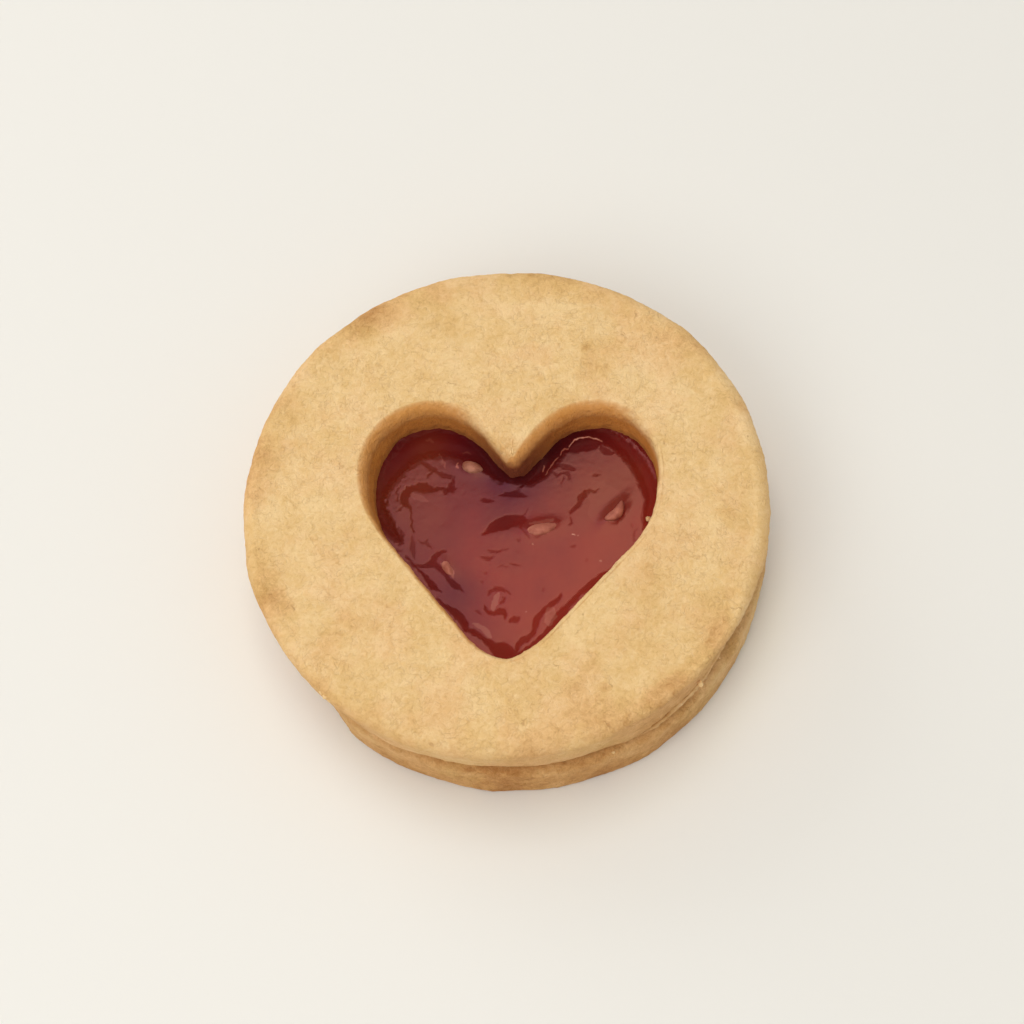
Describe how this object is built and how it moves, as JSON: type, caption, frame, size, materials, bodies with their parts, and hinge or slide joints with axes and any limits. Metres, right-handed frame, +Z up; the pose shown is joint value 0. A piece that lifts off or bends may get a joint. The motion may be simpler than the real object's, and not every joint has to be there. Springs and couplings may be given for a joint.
{
  "type": "linzer cookie",
  "caption": "Round sandwich cookie of butter biscuits filled with raspberry jam, which shows through a heart-shaped window in the upper biscuit.",
  "frame": {"origin": "on the surface the cookie lies on, under the middle of the upper biscuit", "axes": "+Z up through the cookie; the heart's point is towards -Y"},
  "size_m": [0.0558, 0.0558, 0.014],
  "materials": {
    "golden_biscuit": "matte, finely mottled golden butter biscuit",
    "browned_biscuit": "matte, butter biscuit browned towards its underside",
    "jam": "wet gloss, translucent dark red with pale seeds"
  },
  "bodies": {
    "root": {"lower_biscuit": "browned_biscuit", "jam": "jam", "upper_biscuit": "golden_biscuit"}
  },
  "joints": []
}
